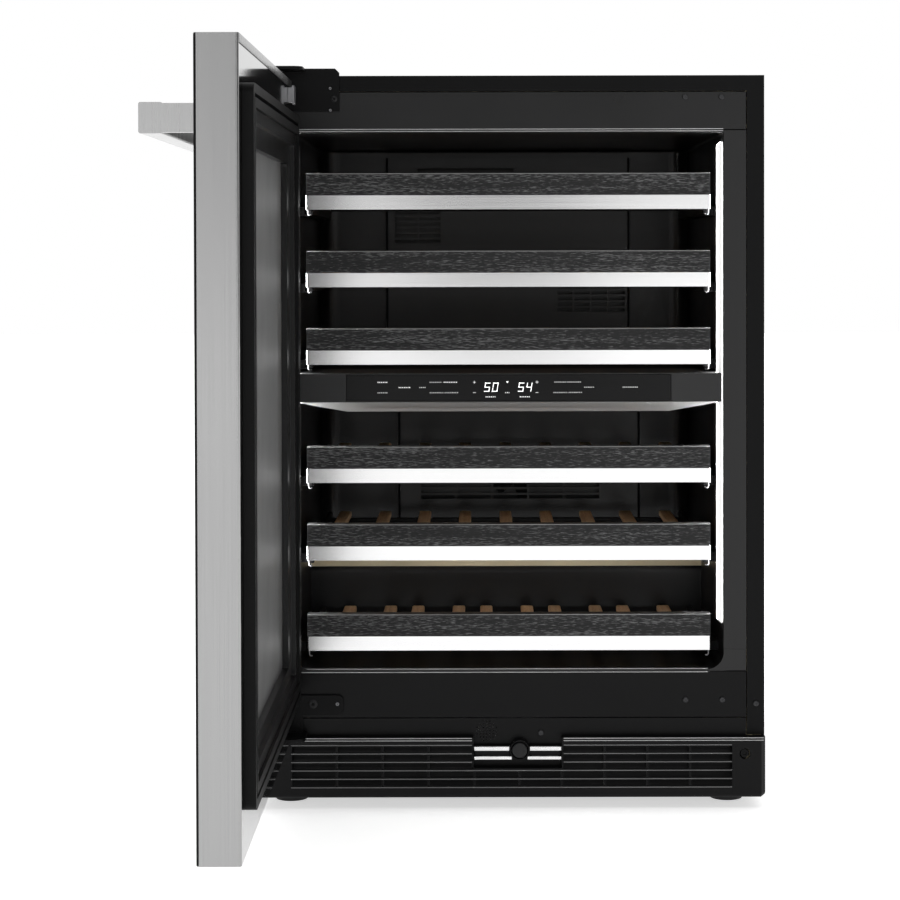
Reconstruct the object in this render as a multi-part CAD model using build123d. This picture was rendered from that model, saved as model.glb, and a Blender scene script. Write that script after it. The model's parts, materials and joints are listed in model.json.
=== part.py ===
from build123d import *
import os

# Undercounter dual-zone wine cooler, in millimetres.
# X to the right, -Y to the front, +Z up. The origin is on the floor, under the
# middle of the cabinet. The door is modelled closed and turned to 90 degrees open.

# cabinet
cabW, cabH, cabD = 606.0, 867.0, 565.0
front, back = -cabD / 2, cabD / 2
sheet = 1.0
sideBottom = 26.0
flangeW = 20.5

# cold cavity
cavHalf = 255.0
cavBottom, cavTop = 162.0, 800.0
cavBack = 207.5
linerT = 2.0
trimDepth = 12.0
humpFront, humpTop = -5.0, 258.0

# front trim
headerBottom = 803.0
headerTop = cabH - 18.5
postBottom = 186.0
footBottom, footTop = 105.0, 160.0
trimHalf = 282.0

# toe grille and its notch
grilleBottom, grilleTop = 11.0, 84.0
grilleProud = 14.0
slotPitch, slotOpen, slotRows = 10.0, 7.4, 5
slotLow = 26.5
notchLeft, notchRight, notchFloor = -42.5, 62.0, 47.5
buttonX, buttonZ = 12.0, 68.8

# shelves: height of the top edge of each front board
boardTops = [752.6, 660.1, 567.5, 426.2, 333.3, 225.4]
shelfHalf = 241.0
boardH, boardT = 26.2, 19.0
trimH, trimT = 16.8, 2.0
shelfFront = front + 20.0
shelfDepth, shortDepth = 372.0, 236.0
slatDrop, slatW, slatT = 25.0, 16.0, 8.0

# control housing across the middle
panelLow, panelHigh = 480.5, 514.3
panelHalf, beamHalf, glassHalf, keelHalf = 252.5, 248.6, 192.3, 195.0

# door, closed
doorHalf, doorLow, doorHigh, doorT = 301.5, 89.0, 861.0, 42.0
gasketGap = 12.0
doorBack = front - gasketGap
doorFront = doorBack - doorT
axisX, axisY = -277.0, -315.5
gasketHalf, gasketW = 277.0, 22.0
gasketLow, gasketHigh = doorLow + 45, doorHigh - 44
windowHalf, windowLow, windowHigh = 205.0, 183.0, 760.0
skinT = 1.2
paneLap = 18.0

# hinge
pinR, bushClear = 5.0, 0.05
armT = 4.0
plateLeft = -263.5


def slab(x0, x1, y0, y1, z0, z1):
    """A box between two corners."""
    size = (x1 - x0, y1 - y0, z1 - z0)
    return Pos((x0 + x1) / 2, (y0 + y1) / 2, (z0 + z1) / 2) * Box(*size)


def rod(x, y, z, r, length, way="Z"):
    """A round bar centred on a point, along one axis."""
    turn = {"X": Rot(0, 90, 0), "Y": Rot(90, 0, 0), "Z": Rot(0, 0, 0)}[way]
    return Pos(x, y, z) * turn * Cylinder(r, length)


def alongY(sketch, y0, y1):
    """A profile drawn in X and Z, carried from y0 to y1."""
    plane = Plane(origin=(0, y1, 0), x_dir=(1, 0, 0), z_dir=(0, -1, 0))
    return extrude(plane * sketch, y1 - y0)


def roundedPlate(half, z0, z1, radius, y0, y1):
    """A plate in X and Z with four round corners."""
    outline = Pos(0, (z0 + z1) / 2) * RectangleRounded(2 * half, z1 - z0, radius)
    return alongY(outline, y0, y1)


def ring(half, z0, z1, inset, y0, y1, radius, innerRadius):
    """A rectangular frame in X and Z."""
    hole = roundedPlate(half - inset, z0 + inset, z1 - inset, innerRadius, y0 - 1, y1 + 1)
    return roundedPlate(half, z0, z1, radius, y0, y1) - hole


def save(name, shape):
    export_step(shape, f"parts/{name}.step")


def group(items):
    return Compound(children=list(items))


# ---------------------------------------------------------------- cabinet


def outerWrapper():
    """One sheet bent over both sides and the top, with a return flange at the front."""
    low = sideBottom
    body = slab(-cabW / 2, cabW / 2, front, back - sheet, low, cabH)
    body -= slab(-cabW / 2 + sheet, cabW / 2 - sheet, front + sheet, back, low - 1, cabH - sheet)
    body -= slab(-cabW / 2 + flangeW, cabW / 2 - flangeW, front - 1, back, low - 1, headerTop)
    body -= slab(-cabW / 2 - 1, cabW / 2 + 1, front - 1, front + sheet, low - 1, grilleTop + 1)
    return body - screwHoles([sideScrew])


def backPanel():
    """Rear sheet with a vented field over the machine space and a hole for the inlet."""
    panel = slab(-302, 302, back - sheet, back, sideBottom, cabH - sheet)
    for row in range(8):
        for column in range(6):
            x, z = -170 + 40 * column, 62 + 16 * row
            panel -= slab(x, x + 30, back - 3, back + 1, z, z + 5)
    return panel - slab(205, 245, back - 3, back + 1, 90, 118)


def basePan():
    """Folded steel tray for the machine parts and the legs, with an apron behind the grille."""
    pan = slab(-301, 301, front + 16, back - 1.5, 28, 46)
    pan -= slab(-299, 299, front + 18, back - 3.5, 30, 60)
    pan += slab(-301, 301, front + 16, front + 17.5, 12, 29)
    for x, y in legPlaces():
        pan -= rod(x, y, 30, 5.1, 20)
    return pan


def insulation():
    """Foam blocks between the outer sheet and the liner."""
    y0, y1 = front + 14, back - 1.5
    inner = cavHalf + linerT + 0.5
    blocks = [
        slab(-301.5, -inner, y0, y1, 47, 865.5),
        slab(inner, 301.5, y0, y1, 47, 865.5),
        slab(-inner, inner, y0, y1, cavTop + linerT + 0.5, 865.5),
        slab(-inner, inner, cavBack + linerT + 0.5, y1, humpTop, cavTop + linerT),
        slab(-inner, inner, humpFront + linerT + 0.5, y1, 222, humpTop - linerT - 0.5),
        slab(-inner, inner, humpFront + linerT + 0.5, 30, 107, 221.5),
        slab(-inner, inner, y0, humpFront + linerT, 107, cavBottom - linerT - 0.5),
    ]
    return group(blocks)


def innerLiner():
    """Moulded tub that forms the cold cavity, with the hump over the compressor."""
    y0 = front + 2
    half = cavHalf + linerT
    outer = slab(-half, half, y0, cavBack + linerT, cavBottom - linerT, cavTop + linerT)
    inner = slab(-cavHalf, cavHalf, y0 - 1, cavBack, cavBottom, cavTop)
    inner = fillet(inner.faces().sort_by(Axis.Y)[-1].edges().filter_by(Axis.Z), 26)
    inner = fillet(inner.edges().filter_by(Axis.Y).group_by(Axis.Z)[0], 12)
    inner = fillet(inner.edges().filter_by(Axis.Y).group_by(Axis.Z)[-1], 4)
    hump = slab(-cavHalf, cavHalf, humpFront, cavBack + 1, cavBottom - 1, humpTop)
    hump = fillet(hump.edges().filter_by(Axis.X).group_by(Axis.Z)[-1].sort_by(Axis.Y)[0], 18)
    under = slab(-half - 3, half + 3, humpFront + linerT, cavBack + 5, cavBottom - 5, humpTop - linerT)
    tub = outer - (inner - hump) - under
    lip = slab(-trimHalf + 0.5, trimHalf - 0.5, y0, y0 + 3, footTop + 0.5, headerBottom - 0.5)
    hole = slab(-cavHalf, cavHalf, y0 - 1, y0 + 4, cavBottom, cavTop)
    hole = fillet(hole.edges().filter_by(Axis.Y).group_by(Axis.Z)[0], 20)
    return tub + (lip - hole)


def channel(x0, x1, z0, z1, y0, depth, wall):
    """A shallow pressed cover: a front face with a rim turned back all round."""
    outer = slab(x0, x1, y0, y0 + depth, z0, z1)
    outer = fillet(outer.faces().sort_by(Axis.Y)[0].edges(), 1.0)
    return outer - slab(x0 + wall, x1 - wall, y0 + wall, y0 + depth + 1, z0 + wall, z1 - wall)


def topHeader():
    header = channel(-trimHalf, trimHalf, headerBottom, headerTop - 0.5, front + 0.6, trimDepth, 2)
    return header - screwHoles(headerScrews)


def bottomHeader():
    header = channel(-trimHalf, trimHalf, footBottom, footTop, front + 0.6, trimDepth, 2)
    return header - screwHoles(footScrews)


def sidePosts():
    left = channel(-trimHalf, -cavHalf + 0.5, postBottom, headerBottom - 0.6, front - 0.4, 2.2, 0.8)
    return group([left, mirror(left, about=Plane.YZ)])


headerScrews = [(x, 841.5) for x in (-253.0, -209.0, 209.5, 252.5)]
footScrews = [(x, 126.0) for x in (209.5, 253.0)]
sideScrew = (293.0, 121.5)
screwR = 3.4


def screwHoles(places):
    return group([rod(x, front, z, 1.6, 40, "Y") for x, z in places])


def cabinetScrews():
    """Pan-head screws with a cross recess in the front trim and the side flanges."""
    heads = []
    for x, z in headerScrews[2:] + footScrews:
        heads.append(screw(x, front + 0.6, z))
    heads.append(screw(sideScrew[0], front, sideScrew[1], 5))
    heads.append(screw(37.6, front + 0.6, 87.0))
    return group(heads)


def screw(x, y, z, length=9):
    """One screw: a domed head on the face at y and a plain shank behind it."""
    head = rod(x, y - 1.1, z, screwR, 2.2, "Y")
    head = fillet(head.edges().sort_by(Axis.Y)[0], 1.0)
    cross = slab(x - 2.0, x + 2.0, y - 3, y - 1.0, z - 0.45, z + 0.45)
    cross += slab(x - 0.45, x + 0.45, y - 3, y - 1.0, z - 2.0, z + 2.0)
    return head - cross + rod(x, y + length / 2 - 0.1, z, 1.5, length, "Y")


def servicePanel():
    """Plate behind the grille, with a round field of small holes over the alarm."""
    panel = slab(-trimHalf + 0.5, trimHalf - 0.8, front + 0.6, front + 3, 45, footBottom - 0.6)
    for row in range(7):
        for column in range(7):
            if abs(row - 3) + abs(column - 3) < 5:
                x, z = -26.9 + 3.8 * (column - 3), 89.5 + 3.8 * (row - 3)
                panel -= rod(x, front, z, 0.8, 20, "Y")
    panel -= rod(buttonX, front, buttonZ, 9.0, 20, "Y")
    return panel - rod(37.6, front, 87.0, 1.6, 20, "Y")


def columnEdges():
    """Left edges of the louvre columns, either side of the centre rib."""
    left = [notchLeft + 1 - 54.3 * n for n in range(4, 0, -1)]
    right = [notchRight + 50.6 * n for n in range(4)]
    return left + [notchLeft + 1, buttonX] + right


def toeGrille():
    """Moulded louvred plinth with a notch over the button and a rounded foot."""
    y0, y1 = front - grilleProud, front + 0.4
    plinth = slab(-cabW / 2, cabW / 2, y0, y1, grilleBottom, grilleTop)
    plinth = fillet(plinth.edges().filter_by(Axis.X).group_by(Axis.Z)[0].sort_by(Axis.Y)[0], 8)
    plinth = chamfer(plinth.edges().filter_by(Axis.Y).group_by(Axis.Z)[0], 5)
    plinth -= slab(-cabW / 2 + 3, cabW / 2 - 3, y0 + 3, y1 + 1, grilleBottom - 1, grilleTop - 3)
    plinth -= slab(notchLeft, notchRight, y0 - 1, y1 + 1, notchFloor, grilleTop + 1)
    plinth += slab(notchLeft - 2.5, notchLeft, y0, y1, notchFloor - 3, grilleTop)
    plinth += slab(notchRight, notchRight + 2.5, y0, y1, notchFloor - 3, grilleTop)
    plinth += slab(notchLeft, notchRight, y0 + 1, y1, notchFloor - 3, notchFloor)
    edges = columnEdges() + [264.6]
    for x0, x1 in zip(edges, edges[1:]):
        for row in range(slotRows):
            z = slotLow + slotPitch * row
            if z + slotOpen > notchFloor - 3 and x0 < notchRight - 1 and x1 > notchLeft + 2:
                continue
            plinth -= slab(x0 + 1.3, x1 - 1.3, y0 - 1, y0 + 4, z, z + slotOpen)
    for x in (-278.5, 278.5):
        plinth -= rod(x, y0, 64.5, 6.4, 20, "Y")
    return plinth


def buttonBezel():
    """Two steel strips across the notch and the round bezel that guides the button."""
    y0 = front - 5.0
    strips = slab(notchLeft + 0.3, notchRight - 0.3, y0, front + 0.5, 67.8, 72.9)
    strips += slab(notchLeft + 0.3, notchRight - 0.3, y0, front + 0.5, 57.3, 61.4)
    strips += slab(notchLeft + 0.3, notchRight - 0.3, y0 + 2, front + 0.5, 56.0, 73.5)
    bezel = rod(buttonX, y0 - 2, buttonZ, 12.2, 12, "Y")
    bezel = fillet(bezel.edges().sort_by(Axis.Y)[0], 1.2)
    return strips + bezel - rod(buttonX, front - 5, buttonZ, 9.4, 60, "Y")


def releaseButton():
    cap = rod(buttonX, front - 7.5, buttonZ, 9.0, 13, "Y")
    cap = fillet(cap.edges().sort_by(Axis.Y)[0], 1.5)
    return cap


def controlHousing():
    """Moulded beam between the two zones, with a slanted keel below its face."""
    y0 = front + 1.5
    y1, keel = y0 + 120, panelLow - 15
    corners = [(y0, panelLow), (y0, panelHigh), (y1, panelHigh), (y1, keel), (y0 + 58, keel)]
    profile = Polyline(*corners, close=True)
    beam = extrude(Plane.YZ * make_face(profile), panelHalf, both=True)
    for side in (-1, 1):
        points = [(side * x, z) for x, z in ((panelHalf, panelLow), (keelHalf, keel), (300, keel - 1))]
        beam -= alongY(make_face(Polyline(*points, close=True)), y0 - 1, y1 + 1)
    beam -= slab(-panelHalf - 1, -beamHalf, y0 + 12, y0 + 130, panelLow - 20, panelHigh + 1)
    beam -= slab(beamHalf, panelHalf + 1, y0 + 12, y0 + 130, panelLow - 20, panelHigh + 1)
    beam -= slab(-beamHalf + 3, beamHalf - 3, y0 + 6, y1 - 3, panelLow + 2, panelHigh - 3)
    beam -= slab(-keelHalf + 9, keelHalf - 9, y0 + 45, y1 - 3, panelLow - 9, panelLow + 3)
    return beam - slab(-glassHalf - 0.3, glassHalf + 0.3, y0 - 1, y0 + 2.2, panelLow + 1.5, panelHigh - 1.5)


def touchPanel():
    y0 = front + 1.5
    return slab(-glassHalf, glassHalf, y0 - 0.4, y0 + 2, panelLow + 1.8, panelHigh - 1.8)


def controlBoard():
    return slab(-150, 150, front + 12, front + 13.6, panelLow + 3, panelHigh - 6)


def zoneDivider():
    """Insulated partition behind the control housing, between the two zones."""
    return slab(-cavHalf + 1, cavHalf - 1, front + 123, 166, panelLow - 4, panelHigh - 6)


def lightStrips():
    """A slim light bar up each side wall, just inside the front posts."""
    y0 = front + 16
    bar = slab(cavHalf - 5.6, cavHalf - 0.3, y0, y0 + 14, 215, 789)
    bar = chamfer(bar.edges().filter_by(Axis.Y).group_by(Axis.X)[0], 4.0)
    return group([bar, mirror(bar, about=Plane.YZ)])


# ---------------------------------------------------------------- cooling


# each cover: left, right, low, high, and its slotted fields with their columns of slots
coverPlan = [
    (-163, 173, 528, 788, [(-121, 15, 745, 780, 2), (-152, -86, 671, 730, 2), (72, 168, 576, 640, 4)]),
    (-147, 187, 272, 462, [(-117, 132, 318, 344, 5)]),
]
ventPitch, ventOpen, ventRib = 8.0, 5.0, 1.5


def ductCover():
    """Raised air-duct cover on the rear wall of each zone, with slotted vents."""
    covers = []
    for x0, x1, z0, z1, vents in coverPlan:
        cover = slab(x0, x1, cavBack - 36, cavBack - 0.5, z0, z1)
        cover = fillet(cover.edges().filter_by(Axis.Z).group_by(Axis.Y)[0], 4)
        cover -= slab(x0 + 2, x1 - 2, cavBack - 34, cavBack, z0 + 2, z1 - 2)
        for left, right, low, high, columns in vents:
            step = (right - left) / columns
            for n in range(columns * int((high - low) / ventPitch)):
                x, z = left + step * (n % columns), low + ventPitch * (n // columns)
                y0, y1 = cavBack - 40, cavBack - 30
                cover -= slab(x + ventRib, x + step - ventRib, y0, y1, z, z + ventOpen)
        covers.append(cover)
    return group(covers)


def finBlock(x0, x1, y0, y1, z0, z1, count, t):
    """A fin-and-tube block: a stack of fins on two round tubes."""
    pitch = (x1 - x0 - t) / (count - 1)
    block = rod((x0 + x1) / 2, (y0 + y1) / 2, z0 + 14, 4, x1 - x0 + 8, "X")
    block += rod((x0 + x1) / 2, (y0 + y1) / 2, z1 - 14, 4, x1 - x0 + 8, "X")
    fins = [slab(x0 + n * pitch, x0 + n * pitch + t, y0, y1, z0, z1) for n in range(count)]
    return block.fuse(*fins)


def evaporators():
    y0, y1 = cavBack - 28, cavBack - 5
    upper = finBlock(-76, 124, y0, y1, 650, 738, 16, 1.2)
    lower = finBlock(-90, 124, y0, y1, 398, 456, 16, 1.2)
    return group([upper, lower])


def condenser():
    return finBlock(-215, -20, -215, -175, 52, 100, 18, 1.2)


fanPlaces = {"upper_fan": (17, cavBack - 21, 606.0), "lower_fan": (17, cavBack - 21, 350.0)}
coolFan = (-120.0, -150.0, 76.0)


def fan(x, y, z, radius, depth, blades):
    """Axial fan: a hub with flat pitched blades, bored for its motor shaft."""
    wheel = rod(x, y, z, radius * 0.34, depth, "Y")
    for n in range(blades):
        blade = Box(radius * 0.72, 1.6, radius * 0.5)
        blade = Rot(0, 360 / blades * n, 0) * Pos(radius * 0.62, 0, 0) * Rot(32, 0, 0) * blade
        wheel += Pos(x, y, z) * blade
    bound = rod(x, y, z, radius, depth * 3, "Y")
    return (wheel & bound) - rod(x, y, z, 1.55, depth * 3, "Y")


def fanMotor(x, y, z, r):
    """A round motor behind the blades, with its shaft through their hub."""
    motor = rod(x, y + 11, z, r, 8, "Y") + rod(x, y + 1, z, 1.5, 16, "Y")
    return motor + slab(x - 30, x + 30, y + 13, y + 15, z - 3, z + 3)


def fanMotors():
    motors = [fanMotor(*place, 10) for place in fanPlaces.values()]
    return group(motors + [fanMotor(*coolFan, 9)])


def compressor():
    """Hermetic compressor can on rubber-footed rails."""
    can = Pos(120, 160, 112) * Cylinder(58, 110)
    can = fillet(can.edges(), 26)
    can -= Pos(120, 160, 112) * Cylinder(54, 80)
    feet = slab(45, 195, 122, 198, 44, 47)
    posts = [rod(x, y, 37.5, 9, 13) for x in (57, 183) for y in (132, 188)]
    stubs = rod(120, 95, 120, 4, 40, "Y") + rod(180, 160, 128, 4, 30, "X")
    saddle = slab(90, 150, 130, 190, 46, 62)
    return (can + feet + stubs + saddle).fuse(*posts)


def powerInlet():
    """Recessed three-pin inlet in the rear sheet."""
    body = slab(206, 244, back - 28, back, 91, 117)
    body -= slab(210, 240, back - 20, back + 1, 95, 113)
    for x, z in ((218, 102), (232, 102), (225, 107)):
        body += slab(x - 1, x + 1, back - 21, back - 4, z - 2.5, z + 2.5)
    return body


def legPlaces():
    return [(x, y) for y in (front + 45, back - 45) for x in (-262.0, 262.0)]


def leg(x, y):
    """Levelling leg: a round foot on a threaded stem."""
    foot = Pos(x, y, 4.5) * Cylinder(19, 9)
    foot = chamfer(foot.edges().sort_by(Axis.Z)[-1], 3)
    return foot + rod(x, y, 24, 5, 34)


# ---------------------------------------------------------------- shelves


def isShort(n):
    return n == len(boardTops) - 1


def shelfBoard(top):
    board = slab(-shelfHalf, shelfHalf, shelfFront, shelfFront + boardT, top - boardH, top)
    return fillet(board.edges().filter_by(Axis.X).group_by(Axis.Z)[-1], 1.5)


def shelfTrim(top):
    """Bright strip under the board, with short ends turned back."""
    z1 = top - boardH - 0.3
    z0 = z1 - trimH
    trim = slab(-shelfHalf, shelfHalf, shelfFront - 0.5, shelfFront + 14, z0, z1)
    trim = fillet(trim.faces().sort_by(Axis.Y)[0].edges().filter_by(Axis.Z), 1.4)
    half = shelfHalf - trimT
    return trim - slab(-half, half, shelfFront + trimT - 0.5, shelfFront + 20, z0 - 1, z1 - trimT)


def slatCentres(n):
    """Nine even slats, or ten in pairs on the short bottom shelf."""
    if not isShort(n):
        return [54.0 * (k - 4) for k in range(9)]
    centres = [-199.0]
    for k in range(9):
        centres.append(centres[-1] + (52.5 if k % 2 == 0 else 35.5))
    return [x - (centres[0] + centres[-1]) / 2 for x in centres]


def shelfRack(n, top):
    """Side rails and cross bars with wooden slats laid front to back on them."""
    depth = shortDepth if isShort(n) else shelfDepth
    y0, y1 = shelfFront + boardT + 0.4, shelfFront + depth
    z1 = top - slatDrop
    parts = []
    for x in slatCentres(n):
        parts.append(slab(x - slatW / 2, x + slatW / 2, y0, y1, z1 - slatT, z1))
    for y in (y0 + 8, y1 - 16):
        parts.append(slab(-shelfHalf + 7, shelfHalf - 7, y, y + 8, z1 - slatT - 6, z1 - slatT))
    for side in (-1, 1):
        x0, x1 = sorted((side * (shelfHalf - 7), side * (shelfHalf - 1)))
        parts.append(slab(x0, x1, y0, y1, z1 - slatT - 16, z1 - 1))
        x0, x1 = sorted((side * (shelfHalf - 1), side * (shelfHalf + 3.2)))
        parts.append(slab(x0, x1, y0 + 30, y1, z1 - slatT - 14.8, z1 - slatT - 9.2))
    return group(parts)


def shelfTracks():
    """Folded runners on the side walls that the shelf rails slide in."""
    tracks = []
    for n, top in enumerate(boardTops):
        depth = shortDepth if isShort(n) else shelfDepth
        y0, y1 = shelfFront + boardT + 22, shelfFront + depth + 4
        middle = top - slatDrop - slatT - 12
        x0 = shelfHalf + 0.3
        track = slab(x0, cavHalf - 0.3, y0, y1, middle - 5.4, middle + 5.4)
        track -= slab(x0 - 1, x0 + 4.4, y0 - 1, y1 + 1, middle - 3.3, middle + 3.3)
        tracks += [track, mirror(track, about=Plane.YZ)]
    return group(tracks)


# ---------------------------------------------------------------- door


def frameBars(half, z0, z1, innerHalf, w0, w1, y0, y1):
    """Four plain bars that meet round a window."""
    return group([
        slab(-half, half, y0, y1, z0, w0),
        slab(-half, half, y0, y1, w1, z1),
        slab(-half, -innerHalf, y0, y1, w0, w1),
        slab(innerHalf, half, y0, y1, w0, w1),
    ])


def windowCut(margin, y0, y1):
    half = windowHalf + margin
    return slab(-half, half, y0, y1, windowLow - margin, windowHigh + margin)


def doorSkin():
    """Steel sheet wrapped round the front, the edges and the rim of the back."""
    skin = slab(-doorHalf, doorHalf, doorFront, doorBack, doorLow, doorHigh)
    skin = fillet(skin.edges().filter_by(Axis.Z), 3)
    half, t = doorHalf - skinT, skinT
    core = slab(-half, half, doorFront + t, doorBack - t, doorLow + t, doorHigh - t)
    skin -= fillet(core.edges().filter_by(Axis.Z), 1.8)
    skin -= windowCut(0, doorFront - 1, doorFront + 4)
    rim, inset = gasketHalf - gasketW - 0.2, gasketW + 0.2
    skin -= slab(-rim, rim, doorBack - 4, doorBack + 1, gasketLow + inset, gasketHigh - inset)
    return skin - hingeBores(7.05)


def hingeBores(r):
    """Round holes on the hinge axis in the top and bottom of the door."""
    return group([rod(axisX, axisY, z, r, 40) for z in (doorLow, doorHigh)])


def doorCore():
    """Insulated frame inside the skin, in four bars."""
    gap = skinT + 0.8
    edge = paneLap + 2
    half, z0, z1 = doorHalf - gap, doorLow + gap, doorHigh - gap
    w0, w1 = windowLow - edge, windowHigh + edge
    y0, y1 = doorFront + gap, doorBack - skinT - 3.4
    sides = frameBars(half, z0, z1, windowHalf + edge, w0, w1, y0, y1).solids()
    return group([bar - hingeBores(7.1) for bar in sides])


def outerGlass():
    return windowCut(paneLap, doorFront + skinT + 0.3, doorFront + skinT + 5.3)


def innerGlass():
    return windowCut(paneLap - 6, doorBack - 8.5, doorBack - 4.5)


def glassSpacer():
    """Bar that holds the two panes apart all round."""
    y0, y1 = doorFront + skinT + 5.6, doorBack - 8.8
    return ring(windowHalf + 7, windowLow - 7, windowHigh + 7, 7, y0, y1, 3, 2)


def doorLiner():
    """Moulded frame on the back of the door that carries the gasket."""
    y0, y1 = doorBack - 4.2, doorBack + 8.0
    z0, z1 = gasketLow + gasketW + 0.4, gasketHigh - gasketW - 0.4
    liner = roundedPlate(gasketHalf - gasketW - 0.4, z0, z1, 6, y0, doorBack + 2.5)
    liner += ring(gasketHalf - gasketW - 0.4, z0, z1, 12, doorBack + 2, y1, 6, 3)
    return liner - roundedPlate(windowHalf, windowLow, windowHigh, 4, y0 - 1, y1 + 1)


def doorGasket():
    """Soft magnetic seal round the liner."""
    y0, y1 = doorBack + 0.2, front - 0.6
    seal = ring(gasketHalf, gasketLow, gasketHigh, gasketW, y0, y1, 10, 6)
    groove = ring(gasketHalf - 9, gasketLow + 9, gasketHigh - 9, 4, doorBack + 6, front + 1, 7, 6)
    return seal - groove


def doorHandle():
    """Flat bar across the top of the door on a return at each end."""
    z1 = doorHigh - 64
    z0, reach = z1 - 29, 51.0
    y0 = doorFront - reach
    bar = slab(-doorHalf + 6, doorHalf - 2, y0, y0 + 22, z0, z1)
    bar = fillet(bar.edges().filter_by(Axis.X), 2)
    left = slab(-doorHalf + 6, -doorHalf + 16, y0 + 3, doorFront, z0 + 1, z1 - 1)
    right = slab(doorHalf - 12, doorHalf - 2, y0 + 3, doorFront, z0 + 1, z1 - 1)
    return bar + left + right


def hingeFittings():
    """Nylon bushes pressed into the door on the hinge axis, and the stud by the top one."""
    fittings = [hingeStud()]
    for z in (doorLow + 10, doorHigh - 10):
        fittings.append(rod(axisX, axisY, z, 7, 19.6) - rod(axisX, axisY, z, pinR + bushClear, 30))
    return group(fittings)


def hingeStud():
    """Shouldered steel stud on the back rim of the door beside the top hinge."""
    x, z = axisX + 14, 841.0
    neck, tip = doorBack + 5.0, doorBack + 7.4
    stud = slab(x - 11, x + 11, doorBack + 0.2, neck, z - 8.5, z + 8.5)
    return stud + slab(x - 12, x + 12, neck, tip, z - 10.5, z + 10.5)


def openDoor(shape):
    """The closed door turned a quarter turn open about the hinge axis."""
    return Pos(axisX, axisY, 0) * Rot(0, 0, -90) * Pos(-axisX, -axisY, 0) * shape


def hingeArm(armLow, inward):
    """Arm over or under the door, with the pin that the door turns on."""
    arm = slab(-297, -240, front - 45, front - 0.3, armLow, armLow + armT)
    arm = fillet(arm.edges().filter_by(Axis.Z).group_by(Axis.Y)[0], 12)
    length = 20.0
    pinZ = armLow + armT / 2 + inward * (length / 2)
    return arm + rod(axisX, axisY, pinZ, pinR, length + armT)


def topBracket():
    """Plate with one cut corner on the cabinet front, clear of the turning door, and its arm."""
    armLow = cabH + 4.5
    plate = slab(plateLeft, -199.5, front - armT, front - 0.3, cabH - 42, armLow + armT)
    corners = plate.edges().filter_by(Axis.Y).group_by(Axis.X)[-1]
    lip = slab(-297, plateLeft, front - armT, front - 0.3, doorHigh + 1.5, armLow + armT)
    return chamfer(corners.sort_by(Axis.Z)[-1], 5) + lip + hingeArm(armLow, -1)


def lowBracket():
    """Round-ended plate on the cabinet front, with a strap down to its arm."""
    armLow, plateHigh = doorLow - 4.4, gasketLow - 1
    y0, y1 = front - armT, front - 0.3
    plate = slab(plateLeft, -196.5, y0, y1, plateHigh - 23, plateHigh)
    plate = fillet(plate.edges().filter_by(Axis.Y).group_by(Axis.X)[-1], 7)
    return plate + slab(plateLeft, -245, y0, y1, armLow, plateHigh - 10) + hingeArm(armLow, 1)


def hingeBrackets():
    return group([topBracket(), lowBracket()])


# ---------------------------------------------------------------- write

os.makedirs("parts", exist_ok=True)

rootParts = {
    "outer_wrapper": outerWrapper(),
    "back_panel": backPanel(),
    "base_pan": basePan(),
    "insulation_foam": insulation(),
    "inner_liner": innerLiner(),
    "top_header": topHeader(),
    "bottom_header": bottomHeader(),
    "side_posts": sidePosts(),
    "cabinet_screws": cabinetScrews(),
    "service_panel": servicePanel(),
    "toe_grille": toeGrille(),
    "button_bezel": buttonBezel(),
    "control_housing": controlHousing(),
    "touch_panel": touchPanel(),
    "control_board": controlBoard(),
    "zone_divider": zoneDivider(),
    "light_strips": lightStrips(),
    "duct_covers": ductCover(),
    "evaporators": evaporators(),
    "condenser": condenser(),
    "fan_motors": fanMotors(),
    "compressor": compressor(),
    "power_inlet": powerInlet(),
    "shelf_tracks": shelfTracks(),
    "hinge_brackets": hingeBrackets(),
}
for name, shape in rootParts.items():
    save(name, shape)

save("release_button", releaseButton())
for name, place in fanPlaces.items():
    save(name, fan(*place, 36, 9, 5))
save("condenser_fan", fan(*coolFan, 23, 8, 5))

legNames = ["leg_front_left", "leg_front_right", "leg_rear_left", "leg_rear_right"]
for name, place in zip(legNames, legPlaces()):
    save(name, leg(*place))

for n, top in enumerate(boardTops):
    save(f"shelf_{n + 1}_board", shelfBoard(top))
    save(f"shelf_{n + 1}_trim", shelfTrim(top))
    save(f"shelf_{n + 1}_rack", shelfRack(n, top))

doorParts = {
    "door_skin": doorSkin(),
    "door_core": doorCore(),
    "outer_glass": outerGlass(),
    "inner_glass": innerGlass(),
    "glass_spacer": glassSpacer(),
    "door_liner": doorLiner(),
    "door_gasket": doorGasket(),
    "door_handle": doorHandle(),
    "hinge_fittings": hingeFittings(),
}
for name, shape in doorParts.items():
    save(name, openDoor(shape))
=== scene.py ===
import json
import math

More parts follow.
